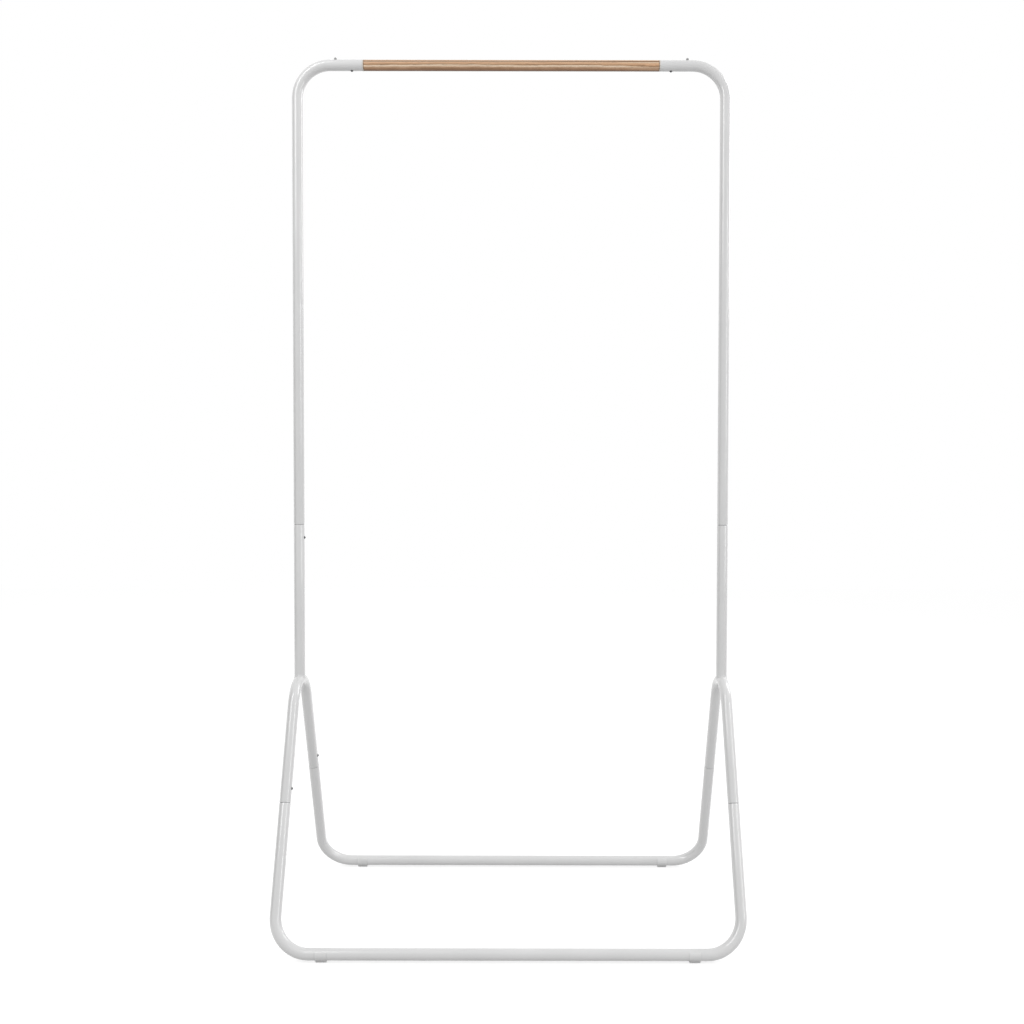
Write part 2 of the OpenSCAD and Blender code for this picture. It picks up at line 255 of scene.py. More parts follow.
def run_tree(piece, group, values):
    """Adds a geometry tree to a piece and sets its inputs by identifier."""
    modifier = piece.modifiers.new(group.name, "NODES")
    modifier.node_group = group
    for item in group.interface.items_tree:
        if item.in_out == "INPUT" and item.name in values:
            modifier[item.identifier] = values[item.name]


def hand_over(piece, slot, *nodes):
    """Gives a finished piece its body and hides the solids that it stands for. slot is not used."""
    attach(piece, BODY)
    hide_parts(*nodes)


# Materials


def empty_material(name):
    material = bpy.data.materials.new(name)
    material.use_nodes = True
    material.node_tree.nodes.clear()
    return material, Tree(material.node_tree)


def new_material(name):
    material, tree = empty_material(name)
    shader = tree.add("ShaderNodeBsdfPrincipled")
    tree.add("ShaderNodeOutputMaterial", Surface=shader)
    return material, tree, shader


def grey(level):
    return (level, level, level)


def object_coordinates(tree, stretch=(1, 1, 1), place=(0, 0, 0)):
    """Places on the object in metres, stretched and moved. Noise scales are waves per metre."""
    source = tree.add("ShaderNodeTexCoord")
    mapping = tree.add("ShaderNodeMapping", Vector=source.outputs["Object"])
    mapping.inputs["Scale"].default_value = stretch
    mapping.inputs["Location"].default_value = place
    return mapping


def object_axis(tree, axis):
    """One coordinate of the place on the object, in metres."""
    source = tree.add("ShaderNodeTexCoord")
    return tree.add("ShaderNodeSeparateXYZ", Vector=source.outputs["Object"]).outputs[axis]


def noise(tree, vector, scale, detail=2.0, roughness=0.5):
    node = tree.add("ShaderNodeTexNoise", Vector=vector, Scale=scale, Detail=detail,
                    Roughness=roughness)
    return node.outputs["Fac"]


def ramp(tree, value, stops):
    """A colour ramp. Each stop is a place and a colour."""
    node = tree.add("ShaderNodeValToRGB", Fac=value)
    elements = node.color_ramp.elements
    while len(elements) < len(stops):
        elements.new(0.5)
    for element, (place, color) in zip(elements, stops):
        element.position = place
        element.color = (*color, 1)
    return node.outputs["Color"]


def spread(tree, value, low, high, start=0.0, stop=1.0):
    """Maps a value from start to stop on to low to high."""
    node = tree.add("ShaderNodeMapRange", Value=value, From_Min=start, From_Max=stop,
                    To_Min=low, To_Max=high)
    return node.outputs["Result"]


def blend_colors(tree, amount, first, second, mode="MIX"):
    node = tree.add("ShaderNodeMix", {"data_type": "RGBA", "blend_type": mode})
    tree.put(node, 0, amount)
    for name, value in (("A", first), ("B", second)):
        socket = next(s for s in node.inputs if s.enabled and s.name == name)
        if isinstance(value, bpy.types.NodeSocket):
            tree.tree.links.new(value, socket)
        else:
            socket.default_value = (*value, 1)
    return next(s for s in node.outputs if s.enabled)


def bump(tree, height, distance, strength=1.0, under=None):
    node = tree.add("ShaderNodeBump", Height=height, Distance=distance, Strength=strength)
    if under is not None:
        tree.put(node, "Normal", under)
    return node.outputs["Normal"]


def white_powder_coat():
    """Semi-gloss white powder coat: a fine orange peel, tiny pits and a slight change of tone."""
    material, tree, shader = new_material("white powder coat")
    here = object_coordinates(tree)
    cloud = noise(tree, here, scale=9, detail=3)
    peel = noise(tree, here, scale=620, roughness=0.4)
    grain = noise(tree, here, scale=3800, roughness=0.6)
    tone = ramp(tree, cloud, [(0.35, grey(0.765)), (0.65, grey(0.80))])
    pits = ramp(tree, grain, [(0.26, grey(0.90)), (0.36, grey(1))])
    tree.put(shader, "Base Color", blend_colors(tree, 1.0, tone, pits, "MULTIPLY"))
    tree.put(shader, "Roughness", spread(tree, grain, 0.30, 0.42, start=0.3, stop=0.7))
    wave = bump(tree, peel, distance=0.05 * MM, strength=0.35)
    tree.put(shader, "Normal", bump(tree, grain, distance=0.008 * MM, strength=0.35, under=wave))
    shader.inputs["IOR"].default_value = 1.52
    shader.inputs["Coat Weight"].default_value = 1.0
    shader.inputs["Coat Roughness"].default_value = 0.13
    shader.inputs["Coat IOR"].default_value = 1.6
    return material


# Where the tree's heart lay behind and above the bar, the width and start of one year's ring, and
# how far the rings wander along the bar
HEART_Y = 25 * MM
HEART_Z = 43 * MM
RING_STEP = 5.85 * MM
RING_START = 1.5
RING_WANDER = 5 * MM

# A wave texture has one ring to a length of pi / (10 * scale)
RING_SCALE = math.pi / (10 * RING_STEP)

# Tones across one year's ring: a dark edge, pale early wood, and late wood that darkens again
YEAR_TONES = [
    (0.0, (0.29, 0.165, 0.09)), (0.04, (0.60, 0.39, 0.24)), (0.07, (0.90, 0.66, 0.47)),
    (0.13, (0.99, 0.77, 0.58)), (0.27, (0.96, 0.72, 0.52)), (0.36, (0.78, 0.53, 0.355)),
    (0.45, (0.66, 0.43, 0.27)), (0.62, (0.60, 0.375, 0.225)), (0.78, (0.63, 0.40, 0.245)),
    (0.88, (0.42, 0.255, 0.15)), (1.0, (0.28, 0.16, 0.09))]

# Painted light and shade along the bar, from BAND_REACH below its middle to as far above it:
# painted shade on the underside, a painted highlight as a pale band below the middle, and one dark
# line above it
BAND_REACH = 10 * MM
PAINTED_LIGHT_BANDS = [
    (0.0, (0.38, 0.31, 0.27)), (0.03, (0.38, 0.31, 0.27)), (0.055, (0.80, 0.70, 0.635)),
    (0.10, (0.78, 0.685, 0.62)), (0.25, grey(1)), (0.29, (1.4, 1.38, 1.36)),
    (0.40, (1.6, 1.58, 1.56)), (0.42, grey(1.2)), (0.62, grey(1.2)), (0.64, (0.56, 0.52, 0.48)),
    (0.76, (0.56, 0.52, 0.48)), (0.79, grey(1.1)), (1.0, grey(1.05))]

PALEST_OAK = (1.0, 0.82, 0.64)
PORE_TONE = (0.22, 0.13, 0.075)
RAY_TONE = (0.78, 0.57, 0.38)
# Tone and greatest strength of the painted shade at the bar's shoulders, where it meets its rings
SHOULDER_SHADE_TONE = (0.25, 0.165, 0.11)
DEEPEST_SHOULDER_SHADE = 0.75


def growth_rings(tree):
    """Place within one year's ring, from 0 to 1. The rings' heart wanders along the bar."""
    half = RING_WANDER / 2
    heart = object_coordinates(tree, place=(0, -HEART_Y - half, -HEART_Z - RAIL_Z - half))
    slow = object_coordinates(tree, (4, 11, 11))
    drift = tree.add("ShaderNodeTexNoise", Vector=slow, Scale=1.0, Detail=3.0)
    bent = tree.add("ShaderNodeVectorMath", {"operation": "MULTIPLY_ADD"})
    tree.put(bent, 0, drift.outputs["Color"])
    tree.put(bent, 1, (0, RING_WANDER, RING_WANDER))
    tree.put(bent, 2, heart)
    ring_kind = {"wave_type": "RINGS", "rings_direction": "X", "wave_profile": "SAW"}
    rings = tree.add("ShaderNodeTexWave", ring_kind, Vector=bent.outputs["Vector"],
                     Scale=RING_SCALE, Phase_Offset=RING_START, Distortion=0.5, Detail=2.0,
                     Detail_Scale=1.5)
    return rings.outputs["Fac"]


def oiled_oak():
    """Turned light oak: rings, painted shade and highlight bands along the bar, painted shade at
    both shoulders, fibres, pores, rays and a satin oil.
    """
    material, tree, shader = new_material("light oak")
    rings = growth_rings(tree)
    growth = ramp(tree, rings, YEAR_TONES)
    # Painted shade on the underside and a painted highlight below the middle, fixed by height on
    # the bar
    upward = spread(tree, object_axis(tree, "Z"), 0.0, 1.0,
                    start=RAIL_Z - BAND_REACH, stop=RAIL_Z + BAND_REACH)
    body = blend_colors(tree, 1.0, growth, ramp(tree, upward, PAINTED_LIGHT_BANDS), "MULTIPLY")
    body = blend_colors(tree, 1.0, body, PALEST_OAK, "DARKEN")
    along = object_coordinates(tree, (4, 460, 460))
    fibre = noise(tree, along, scale=1.0, detail=4, roughness=0.65)
    streak = ramp(tree, fibre, [
        (0.30, (0.68, 0.61, 0.54)), (0.48, (0.94, 0.92, 0.90)), (0.66, grey(1))])
    body = blend_colors(tree, 1.0, body, streak, "MULTIPLY")
    along = object_coordinates(tree, (24, 2100, 2100))
    hair = noise(tree, along, scale=1.0, detail=3, roughness=0.6)
    fine = ramp(tree, hair, [(0.34, (0.82, 0.78, 0.745)), (0.54, grey(1.06))])
    body = blend_colors(tree, 1.0, body, fine, "MULTIPLY")
    porous = ramp(tree, rings, [
        (0.0, grey(1)), (0.10, grey(0.2)), (0.78, grey(0)), (0.92, grey(1))])
    pores = noise(tree, object_coordinates(tree, (60, 1700, 1700)), scale=1.0)
    pores = tree.math("SUBTRACT", pores, tree.math("MULTIPLY", porous, 0.10))
    open_pore = ramp(tree, pores, [(0.31, grey(1)), (0.37, grey(0))])
    body = blend_colors(tree, tree.math("MULTIPLY", open_pore, 0.6), body, PORE_TONE)
    rays = noise(tree, object_coordinates(tree, (55, 260, 900)), scale=1.0, detail=1)
    fleck = ramp(tree, rays, [(0.66, grey(0)), (0.74, grey(1))])
    body = blend_colors(tree, tree.math("MULTIPLY", fleck, 0.3), body, RAY_TONE)
    # Painted shade darkens a narrow band at both shoulders, where the bar meets its rings
    tree.put(shader, "Base Color", blend_colors(tree, painted_shoulder_shade(tree), body, SHOULDER_SHADE_TONE))
    tree.put(shader, "Roughness", spread(tree, fibre, 0.46, 0.32, start=0.3, stop=0.7))
    sunk = bump(tree, tree.math("SUBTRACT", 1.0, open_pore), distance=0.12 * MM, strength=0.5)
    tree.put(shader, "Normal", bump(tree, fibre, distance=0.03 * MM, strength=0.4, under=sunk))
    shader.inputs["IOR"].default_value = 1.45
    return material


def painted_shoulder_shade(tree):
    """Painted shade in a narrow band at both shoulders, where the bar meets its rings."""
    reach = tree.math("ABSOLUTE", object_axis(tree, "X"))
    shoulder = RING_X[0]
    begins = spread(tree, reach, 0.0, DEEPEST_SHOULDER_SHADE,
                    start=shoulder - 2.4 * MM, stop=shoulder - 0.8 * MM)
    ends = spread(tree, reach, 1.0, 0.0, start=shoulder + 0.2 * MM, stop=shoulder + 0.6 * MM)
    return tree.math("MULTIPLY", begins, ends)


def moulded_plastic(name, color, roughness):
    """Moulded plastic with the fine sparked texture of its mould and a soft change of gloss."""
    material, tree, shader = new_material(name)
    here = object_coordinates(tree)
    grain = noise(tree, here, scale=5200, roughness=0.6)
    cloud = noise(tree, here, scale=60)
    darker = tuple(0.94 * c for c in color)
    tree.put(shader, "Base Color", ramp(tree, cloud, [(0.35, darker), (0.65, color)]))
    gloss = spread(tree, grain, roughness - 0.06, roughness + 0.08, start=0.3, stop=0.7)
    tree.put(shader, "Roughness", gloss)
    tree.put(shader, "Normal", bump(tree, grain, distance=0.02 * MM, strength=0.4))
    shader.inputs["IOR"].default_value = 1.49
    return material


def worked_metal(name, color, roughness, along):
    """Bare metal with fine tool or drawing lines. along is their waves per metre on each axis."""
    material, tree, shader = new_material(name)
    scratch = noise(tree, object_coordinates(tree, along), scale=1.0, detail=3, roughness=0.6)
    stain = noise(tree, object_coordinates(tree), scale=170)
    darker = tuple(0.82 * c for c in color)
    tree.put(shader, "Base Color", ramp(tree, stain, [(0.35, darker), (0.62, color)]))
    gloss = spread(tree, scratch, roughness - 0.08, roughness + 0.10, start=0.3, stop=0.7)
    tree.put(shader, "Roughness", gloss)
    tree.put(shader, "Normal", bump(tree, scratch, distance=0.01 * MM, strength=0.5))
    shader.inputs["Metallic"].default_value = 1.0
    return material


# Tubes


def bent_tube_tree():
    """Sweeps a round tube along straight runs, with each corner between them bent to one radius."""
    group, tree = geometry_tree("bent tube", [
        ("Tube Radius", "NodeSocketFloat", TUBE_R), ("Bend Radius", "NodeSocketFloat", CORNER_R),
        ("Bend Points", "NodeSocketInt", BEND_POINTS), ("Tube Sides", "NodeSocketInt", TUBE_SIDES),
        ("Finish", "NodeSocketMaterial", None)])
    given = tree.add("NodeGroupInput").outputs
    path = tree.add("GeometryNodeMeshToCurve", Mesh=given["Geometry"])
    bends = tree.add("GeometryNodeFilletCurve", {"mode": "POLY"}, Curve=path,
                     Count=given["Bend Points"], Radius=given["Bend Radius"])
    section = tree.add("GeometryNodeCurvePrimitiveCircle", Resolution=given["Tube Sides"],
                       Radius=given["Tube Radius"])
    skin = tree.add("GeometryNodeCurveToMesh", Curve=bends, Profile_Curve=section.outputs["Curve"])
    smooth = tree.add("GeometryNodeSetShadeSmooth", Geometry=skin)
    close_tree(tree, smooth, given["Finish"])
    return group


def bent_tube(name, group, path, bend_radius, finish):
    """A tube with its wall, along a path of corner points."""
    edges = [(k, k + 1) for k in range(len(path) - 1)]
    piece = make_object(name, path, edges=edges)
    run_tree(piece, group, {"Bend Radius": bend_radius, "Finish": finish})
    add_modifier(piece, "SOLIDIFY", thickness=WALL, offset=-1.0, use_even_offset=True)
    return settle(piece)


def round_rims(piece):
    """Rounds the edges of a tube's ends."""
    add_modifier(piece, "BEVEL", width=RIM_ROUND, segments=4, limit_method="ANGLE",
                 angle_limit=math.radians(50))
    settle(piece)
    shade_smooth(piece)
    return piece


def saddle_z(x, y, arch_tube_r):
    """Height of the arch's upper surface at a place beside its centre line."""
    across = math.sqrt(max(arch_tube_r**2 - x**2, 0.0))
    return ARCH_Z + math.sqrt(max((ARCH_R + across)**2 - y**2, 0.0))


def cope(piece, centre_x):
    """Cuts the lower end of a post to the saddle that fits the arch, with the ears ground flat."""
    for vertex in piece.data.vertices:
        if vertex.co.z < LOWER_FOOT + COPE_REACH:
            height = saddle_z(vertex.co.x - centre_x, vertex.co.y, TUBE_R + COPE_GAP)
            vertex.co.z = max(height, LOWER_FOOT)


def tube_frames(finish):
    group = bent_tube_tree()
    for side, sign in SIDES.items():
        x = sign * POST_X
        upper = [(x, 0, UPPER_FOOT), (x, 0, RAIL_Z), (sign * ARM_END, 0, RAIL_Z)]
        piece = round_rims(bent_tube(f"upper_tube_{side}", group, upper, CORNER_R, finish))
        hand_over(piece, "white_coat", f"upper_frame_{side}")

        lower = [(x, 0, LOWER_TOP), (x, 0, LOWER_FOOT)]
        piece = bent_tube(f"lower_tube_{side}", group, lower, CORNER_R, finish)
        cope(piece, x)
        round_rims(piece)
        hand_over(piece, "white_coat", f"lower_post_{side}")

        leg_end = Vector((x, 0, LEG_RUN + JOINT_GAP / 2))
        legs = [leg_plane(-1) @ leg_end, Vector((x, 0, APEX_Z)), leg_plane(1) @ leg_end]
        piece = round_rims(bent_tube(f"hairpin_tube_{side}", group, legs, ARCH_R, finish))
        hand_over(piece, "white_coat", f"side_hairpin_{side}")
    top = LEG_RUN - JOINT_GAP / 2
    for end, sign in ENDS.items():
        corners = [(-POST_X, 0, top), (-POST_X, 0, 0), (POST_X, 0, 0), (POST_X, 0, top)]
        path = [leg_plane(sign) @ Vector(p) for p in corners]
        piece = round_rims(bent_tube(f"{end}_base_tube", group, path, CORNER_R, finish))
        hand_over(piece, "white_coat", f"{end}_base_frame")


# Weld beads

WELD_CORE_R = 0.9 * MM
RIPPLE_R = 1.15 * MM
RIPPLE_PITCH = 0.95 * MM
RIPPLE_STRETCH = 0.55
WELD_SINK = 0.3 * MM
WELD_POINTS = 120
WELD_VOXEL = 0.2 * MM


def weld_tree():
    """A bead along a closed path: a round core with overlapping ripples."""
    group, tree = geometry_tree("weld bead", [
        ("Core Radius", "NodeSocketFloat", WELD_CORE_R),
        ("Ripple Radius", "NodeSocketFloat", RIPPLE_R),
        ("Ripple Pitch", "NodeSocketFloat", RIPPLE_PITCH),
        ("Seed", "NodeSocketInt", 7), ("Finish", "NodeSocketMaterial", None)])
    given = tree.add("NodeGroupInput").outputs
    path = tree.add("GeometryNodeMeshToCurve", Mesh=given["Geometry"])
    section = tree.add("GeometryNodeCurvePrimitiveCircle", Resolution=16,
                       Radius=given["Core Radius"])
    core = tree.add("GeometryNodeCurveToMesh", Curve=path, Profile_Curve=section.outputs["Curve"])
    steps = tree.add("GeometryNodeResampleCurve", {"mode": "LENGTH"}, Curve=path,
                     Length=given["Ripple Pitch"])
    points = tree.add("GeometryNodeCurveToPoints", {"mode": "EVALUATED"}, Curve=steps)
    ball = tree.add("GeometryNodeMeshIcoSphere", Radius=given["Ripple Radius"], Subdivisions=2)
    size = tree.add("FunctionNodeRandomValue", {"data_type": "FLOAT"}, Min=0.9, Max=1.05,
                    Seed=given["Seed"])
    ripples = tree.add("GeometryNodeInstanceOnPoints", Points=points.outputs["Points"],
                       Instance=ball.outputs["Mesh"], Rotation=points.outputs["Rotation"])
    stretch = tree.add("ShaderNodeCombineXYZ", X=1.0, Y=1.0, Z=RIPPLE_STRETCH)
    scaled = tree.add("ShaderNodeVectorMath", {"operation": "SCALE"}, Vector=stretch, Scale=size)
    tree.put(ripples, "Scale", scaled)
    both = tree.add("GeometryNodeJoinGeometry")
    tree.put(both, 0, core)
    tree.put(both, 0, ripples)
    close_tree(tree, both, given["Finish"])
    return group


def weld_beads(finish):
    """The beads round the coped ends. A remesh melts each bead's core and ripples together."""
    group = weld_tree()
    path_r = TUBE_R - WELD_SINK
    for side, sign in SIDES.items():
        path = []
        for k in range(WELD_POINTS):
            angle = 2 * math.pi * k / WELD_POINTS
            x, y = path_r * math.cos(angle), path_r * math.sin(angle)
            path.append((sign * POST_X + x, y, max(saddle_z(x, y, TUBE_R), LOWER_FOOT)))
        edges = [(k, (k + 1) % WELD_POINTS) for k in range(WELD_POINTS)]
        bead = make_object(f"weld_bead_{side}", path, edges=edges)
        run_tree(bead, group, {"Finish": finish})
        settle(bead)
        add_modifier(bead, "REMESH", mode="VOXEL", voxel_size=WELD_VOXEL)
        add_modifier(bead, "SMOOTH", factor=0.5, iterations=4)
        settle(bead)
        shade_smooth(bead, limit=180)
        paint(bead, finish)
        hand_over(bead, "white_coat", f"post_weld_{side}")


# Screws

SCREW_R = 1.5 * MM
SCREW_SIDES = 48
HEAD_R = 2.7 * MM
HEAD_H = 1.8 * MM
HEAD_EDGE = 0.12 * MM
DOME_STEPS = 14
KEY_FLATS = 2.0 * MM
KEY_DEPTH = 1.0 * MM
KEY_SINK = 0.16 * MM
KEY_LIP = 0.05 * MM
KEY_RIM_R = 0.61 * KEY_FLATS
HEAD_FLAT_R = 0.68 * KEY_FLATS
NECK_FILLET = 0.1 * MM
NECK_LEN = 0.9 * MM
THREAD_PITCH = 0.5 * MM
THREAD_DEPTH = 0.27 * MM
THREAD_START = 1.1 * MM
THREAD_STEPS = 6
POINT_LEN = 0.5 * MM
JOINT_SCREW = 8 * MM
BAR_SCREW = 11 * MM


def hexagon(flats):
    """Distance from the middle to a hexagon's side at any angle."""
    def radius(angle):
        sixth = math.pi / 3
        return flats / 2 / math.cos((angle + sixth / 2) % sixth - sixth / 2)
    return radius


def thread(height, depth):
    """Radius of a screw thread at one height, which climbs one pitch for each turn."""
    def radius(angle):
        phase = (height / THREAD_PITCH - angle / (2 * math.pi)) % 1.0
        return SCREW_R - depth * abs(2 * phase - 1)
    return radius


def button_head():
    """Rings of a button head from its hexagon socket outwards: floor, sides, dome and edge."""
    floor_z = HEAD_H - KEY_DEPTH
    rings = [(floor_z, 0.3 * MM), (floor_z, hexagon(0.9 * KEY_FLATS)),
             (HEAD_H - 0.9 * KEY_DEPTH, hexagon(KEY_FLATS)),
             (HEAD_H - KEY_SINK, hexagon(KEY_FLATS)), (HEAD_H - KEY_LIP, KEY_RIM_R)]
    ball_r = (HEAD_R**2 + HEAD_H**2) / (2 * HEAD_H)
    edge_r = HEAD_R - HEAD_EDGE
    for k in range(DOME_STEPS + 1):
        r = HEAD_FLAT_R + (edge_r - HEAD_FLAT_R) * k / DOME_STEPS
        rings.append((HEAD_H - ball_r + math.sqrt(ball_r**2 - r**2), r))
    return rings + arc_rings(HEAD_EDGE, edge_r, HEAD_EDGE, start=20, stop=-90, steps=5)


def button_screw(name, length):
    """A button-head screw with a real thread. Its seat is at Z = 0, with its head above."""
    rings = button_head()
    rings += [(0, SCREW_R + NECK_FILLET), (-NECK_FILLET, SCREW_R), (-NECK_LEN, SCREW_R)]
    step = THREAD_PITCH / THREAD_STEPS
    count = int((length - THREAD_START - POINT_LEN) / step)
    for k in range(count):
        height = -THREAD_START - step * k
        run_in = min(1.0, k / 6, (count - 1 - k) / 4)
        rings.append((height, thread(height, THREAD_DEPTH * run_in)))
    rings += [(-length + 0.25 * MM, SCREW_R - 0.1 * MM), (-length, SCREW_R - 0.4 * MM)]
    piece = stacked_rings(name, rings, SCREW_SIDES)
    shade_smooth(piece, limit=30)
    return piece


def fitting_tree():
    """Puts one copy of a small fitting on each point, with its Z along the point's own axis."""
    group, tree = geometry_tree("fittings", [
        ("Fitting", "NodeSocketObject", None), ("Spin", "NodeSocketFloat", 0.0),
        ("Seed", "NodeSocketInt", 3), ("Finish", "NodeSocketMaterial", None)])
    given = tree.add("NodeGroupInput").outputs
    part = tree.add("GeometryNodeObjectInfo", Object=given["Fitting"])
    axis = tree.add("GeometryNodeInputNamedAttribute", {"data_type": "FLOAT_VECTOR"}, Name="axis")
    turn = tree.add("FunctionNodeAlignRotationToVector", {"axis": "Z"},
                    Vector=axis.outputs["Attribute"])
    chance = tree.add("FunctionNodeRandomValue", {"data_type": "FLOAT"}, Seed=given["Seed"])
    amount = tree.math("MULTIPLY", chance, given["Spin"])
    spin = tree.add("ShaderNodeCombineXYZ", Z=amount)
    own_axes = {"rotation_space": "LOCAL"}
    turned = tree.add("FunctionNodeRotateRotation", own_axes, Rotation=turn, Rotate_By=spin)
    places = tree.add("GeometryNodeInstanceOnPoints", Points=given["Geometry"],
                      Instance=part.outputs["Geometry"], Rotation=turned)
    close_tree(tree, places, given["Finish"])
    return group


def place_fittings(name, group, fitting, seats, spin, finish):
    """One mesh with a fitting at each seat. A seat is a point and the way the fitting faces."""
    piece = make_object(name, [point for point, axis in seats])
    axes = piece.data.attributes.new("axis", "FLOAT_VECTOR", "POINT")
    for k, (point, axis) in enumerate(seats):
        axes.data[k].vector = axis
    run_tree(piece, group, {"Fitting": fitting, "Spin": spin, "Finish": finish})
    settle(piece)
    bpy.data.objects.remove(fitting)
    left_over = piece.data.attributes.get("axis")
    if left_over is not None:
        piece.data.attributes.remove(left_over)
    return piece


def screws(group, finish):
    """The joint screws, left ones facing inwards and right ones rearwards, and the bar's two."""
    across = {"left": Vector((1, 0, 0)), "right": Vector((0, 1, 0))}
    joint_seats = []
    replaced = []
    for side, sign in SIDES.items():
        face = across[side]
        joint_seats.append((Vector((sign * POST_X, 0, POST_SCREW_Z)) + TUBE_R * face, face))
        replaced.append(f"post_screw_{side}")
        for end, way in ENDS.items():
            plane = leg_plane(way)
            middle_point = plane @ Vector((sign * POST_X, 0, LEG_RUN + SCREW_OFF))
            axis = plane.to_3x3() @ face
            joint_seats.append((middle_point + TUBE_R * axis, axis))
            replaced.append(f"leg_screw_{end}_{side}")
    whole_turn = 2 * math.pi
    screw = button_screw("screw", JOINT_SCREW)
    piece = place_fittings("joint_screws", group, screw, joint_seats, whole_turn, finish)
    hand_over(piece, "dark_steel", *replaced)
    down = Vector((0, 0, -1))
    bar_seats = [(Vector((sign * BAR_SCREW_X, 0, RAIL_Z - TUBE_R)), down)
                 for sign in SIDES.values()]
    screw = button_screw("screw", BAR_SCREW)
    piece = place_fittings("bar_screws", group, screw, bar_seats, whole_turn, finish)
    hand_over(piece, "dark_steel", *[f"bar_screw_{side}" for side in SIDES])


# Bar, rings and stops

TENON_PLAY = 0.2 * MM
BAR_EASE = 0.6 * MM
BAR_STEPS = 140
WAVE_DEPTH = 0.015 * MM
WAVE_ROOM = 0.02 * MM
RING_EASE = 0.5 * MM


def turned_radius(x):
    """The bar's radius at a place along it, with the fine wave that the lathe left."""
    wave = WAVE_DEPTH * math.sin(210 * x) * math.sin(57 * x + 1)
    return BAR_R - WAVE_ROOM + wave


def hanging_bar(finish):
    """The turned bar: eased shoulders, a fine turning wave and a tenon at each end."""
    shoulder = RING_X[0]
    tenon_r = TUBE_R - WALL - TENON_PLAY
    ease = BAR_EASE
    half = [(TENON_TIP, tenon_r - ease)]
    half += arc_rings(TENON_TIP - ease, tenon_r - ease, ease, start=90, stop=0, steps=4)
    half += [(shoulder, tenon_r), (shoulder, tenon_r + 0.05 * MM)]
    half += arc_rings(shoulder - ease, BAR_R - ease, ease, start=90, stop=0, steps=6)
    for k in range(1, BAR_STEPS):
        x = (shoulder - ease) * (1 - 2 * k / BAR_STEPS)
        half.append((x, turned_radius(x)))
    other_end = reversed(half[:-(BAR_STEPS - 1)])
    rings = half + [(-height, radius) for height, radius in other_end]
    bar = stacked_rings("oak_bar", rings, TUBE_SIDES)
    level = Matrix.Translation((0, 0, RAIL_Z)) @ Matrix.Rotation(math.pi / 2, 4, "Y")
    bar.data.transform(level)
    shade_smooth(bar)
    paint(bar, finish)
    hand_over(bar, "oak_bar", "hanging_bar")


def closed_band(name, section, sides):
    """A ring round Z from a closed section of radii and heights."""
    verts = []
    faces = []
    count = len(section)
    for k in range(sides):
        angle = 2 * math.pi * k / sides
        verts += [(r * math.cos(angle), r * math.sin(angle), z) for r, z in section]
    for k in range(sides):
        for j in range(count):
            a, b = k * count + j, k * count + (j + 1) % count
            c, d = ((k + 1) % sides) * count + (j + 1) % count, ((k + 1) % sides) * count + j
            faces.append((a, b, c, d))
    piece = make_object(name, verts, faces)
    face_outwards(piece)
    return piece


def bar_rings(group, finish):
    """The pale rings at the bar's shoulders, with rounded outer edges."""
    thick = RING_X[1] - RING_X[0]
    inner = TUBE_R - WALL
    ease = RING_EASE
    edges = arc_rings(ease, TUBE_R - ease, ease, start=-90, stop=0, steps=5)
    edges += arc_rings(thick - ease, TUBE_R - ease, ease, start=0, stop=90, steps=5)
    section = [(inner, 0), (TUBE_R - ease, 0)] + [(r, z) for z, r in edges] + [(inner, thick)]
    ring = closed_band("ring", section, TUBE_SIDES)
    shade_smooth(ring)
    seats = [(Vector((sign * RING_X[0], 0, RAIL_Z)), Vector((sign, 0, 0)))
             for sign in SIDES.values()]
    piece = place_fittings("bar_ring_pair", group, ring, seats, 0.0, finish)
    hand_over(piece, "pale_plastic", *[f"bar_ring_{side}" for side in SIDES])


STOP_SIDES = 48
STOP_BALL_R = 2.6 * MM
STOP_LIFT = 2 * MM
STOP_STEM_R = 1.5 * MM
STOP_FLANGE_R = 2.3 * MM
STOP_FLANGE_H = 0.12 * MM
STOP_TIP_R = 0.7 * MM
STOP_BARB = 0.55 * MM
STOP_SEAM = 0.06 * MM
STOP_SINK = 0.02 * MM
STOP_STEPS = 40


def hanger_stops(group, finish):
    """The ball-headed pegs on the rail: ball with a moulding seam, low flange, stem and barb."""
    seat = RAIL_Z + TUBE_R
    tip = span("hanger_stop_right", 2)[0] - seat
    barb_r = STOP_STEM_R + STOP_BARB
    rings = [(tip, STOP_TIP_R), (-WALL - 0.25 * MM, barb_r),
             (-WALL - 0.05 * MM, barb_r - 0.05 * MM), (-WALL - STOP_SINK, STOP_STEM_R),
             (-STOP_SINK, STOP_STEM_R), (-STOP_SINK, STOP_FLANGE_R - 0.2 * MM),
             (STOP_FLANGE_H, STOP_FLANGE_R)]
    lowest = math.degrees(math.asin(-STOP_LIFT * 0.85 / STOP_BALL_R))
    widest = round(-lowest / (90 - lowest) * STOP_STEPS)
    for k in range(STOP_STEPS):
        angle = math.radians(lowest + (90 - lowest) * k / STOP_STEPS)
        seam = STOP_SEAM if k == widest else 0.0
        rings.append((STOP_LIFT + STOP_BALL_R * math.sin(angle),
                      STOP_BALL_R * math.cos(angle) + seam))
    rings.append((STOP_LIFT + STOP_BALL_R, STOP_SINK))
    stop = stacked_rings("stop", rings, STOP_SIDES)
    shade_smooth(stop, limit=50)
    seats = [(Vector((sign * STOP_X, 0, seat)), Vector((0, 0, 1))) for sign in SIDES.values()]
    piece = place_fittings("hanger_stop_pair", group, stop, seats, 0.0, finish)
    hand_over(piece, "grey_plastic", *[f"hanger_stop_{side}" for side in SIDES])


# Feet

FOOT_LEN = 19 * MM
FOOT_WALL = 1.2 * MM
FOOT_PLAY = 0.1 * MM
FOOT_GRIP = 7 * MM
FOOT_EDGE = 0.35 * MM
FOOT_STEPS = 18
SOLE_HALF = 4 * MM
SOLE_ROUND = 2 * MM
SOLE_STEPS = 6


